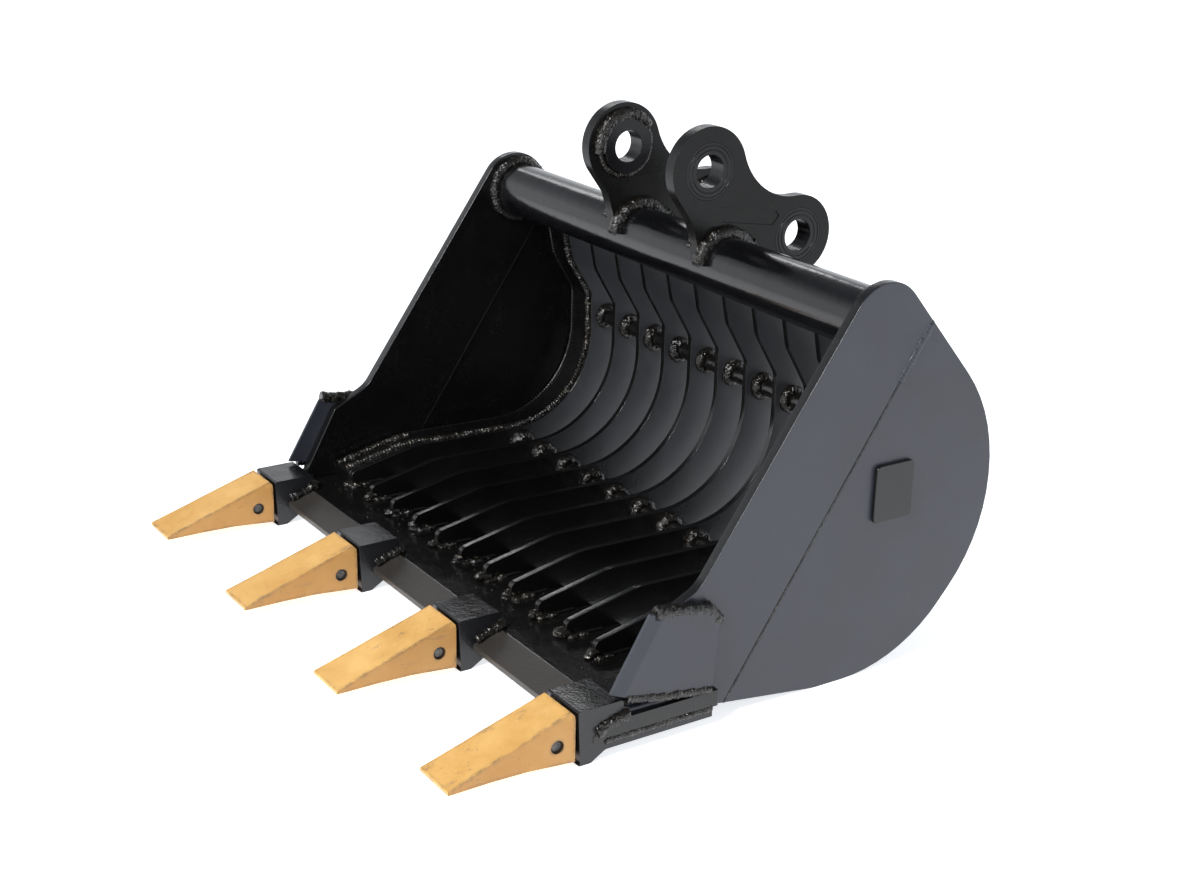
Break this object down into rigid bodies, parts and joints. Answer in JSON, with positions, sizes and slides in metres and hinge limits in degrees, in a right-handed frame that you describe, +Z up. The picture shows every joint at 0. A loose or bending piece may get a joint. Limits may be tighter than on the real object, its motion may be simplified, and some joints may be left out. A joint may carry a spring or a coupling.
{
  "type": "skeleton bucket",
  "caption": "Riddle bucket for a mini excavator: profiled ribs between side plates, torque tube, two ears for carrying pins, bevelled blade with pinned teeth.",
  "frame": {"origin": "on the ground, under the middle of the bucket's bounding box", "axes": "+X across the bucket along its pins, from the left plate to the right one as seen from behind the bucket, -Y to the teeth, +Z up as it stands on its floor"},
  "size_m": [0.618, 0.549, 0.443],
  "materials": {
    "black_plate": "satin black paint on plate",
    "black_weld": "glossy black paint over a weld",
    "black_tube": "gloss black paint",
    "turned_boss": "satin black paint over turned steel",
    "black_rib": "satin black paint on profiled plate",
    "black_rod": "gloss black paint",
    "black_blade": "satin black paint with a fine spatter",
    "black_casting": "satin black paint on a casting",
    "tooth_paint": "amber-yellow paint on a casting, rubbed brown at the edges",
    "pin_steel": "dark oxidised steel",
    "retainer_rubber": "matt rubber",
    "badge_paint": "gloss black paint"
  },
  "bodies": {
    "bucket": {"side_strip_left": "black_plate", "side_strip_right": "black_plate", "side_sheet_left": "black_plate", "side_sheet_right": "black_plate", "side_cutter_left": "black_plate", "side_cutter_right": "black_plate", "ear_left": "black_plate", "ear_right": "black_plate", "filler_strip_left": "black_plate", "filler_strip_right": "black_plate", "seam_weld_left": "black_weld", "seam_weld_right": "black_weld", "torque_tube": "black_tube", "dipper_boss_left": "turned_boss", "dipper_boss_right": "turned_boss", "link_boss_left": "turned_boss", "link_boss_right": "turned_boss", "end_rib_left": "black_rib", "end_rib_right": "black_rib", "rib_1": "black_rib", "rib_2": "black_rib", "rib_3": "black_rib", "rib_4": "black_rib", "rib_5": "black_rib", "rib_6": "black_rib", "rib_7": "black_rib", "rib_8": "black_rib", "rib_9": "black_rib", "rib_10": "black_rib", "lower_rod": "black_rod", "upper_rod": "black_rod", "blade": "black_blade", "adapter_1": "black_casting", "adapter_2": "black_casting", "adapter_3": "black_casting", "adapter_4": "black_casting", "tooth_1": "tooth_paint", "tooth_2": "tooth_paint", "tooth_3": "tooth_paint", "tooth_4": "tooth_paint", "pin_retainer_1": "retainer_rubber", "pin_retainer_2": "retainer_rubber", "pin_retainer_3": "retainer_rubber", "pin_retainer_4": "retainer_rubber", "side_badge": "badge_paint"},
    "locking_pin_1": {"tooth_pin_1": "pin_steel"},
    "locking_pin_2": {"tooth_pin_2": "pin_steel"},
    "locking_pin_3": {"tooth_pin_3": "pin_steel"},
    "locking_pin_4": {"tooth_pin_4": "pin_steel"}
  },
  "joints": [
    {"name": "pin_1_drive_out", "type": "slide", "parent": "bucket", "child": "locking_pin_1", "axis": [1, 0, 0], "range_m": [0, 0.045]},
    {"name": "pin_2_drive_out", "type": "slide", "parent": "bucket", "child": "locking_pin_2", "axis": [1, 0, 0], "range_m": [0, 0.045]},
    {"name": "pin_3_drive_out", "type": "slide", "parent": "bucket", "child": "locking_pin_3", "axis": [1, 0, 0], "range_m": [0, 0.045]},
    {"name": "pin_4_drive_out", "type": "slide", "parent": "bucket", "child": "locking_pin_4", "axis": [1, 0, 0], "range_m": [0, 0.045]}
  ]
}
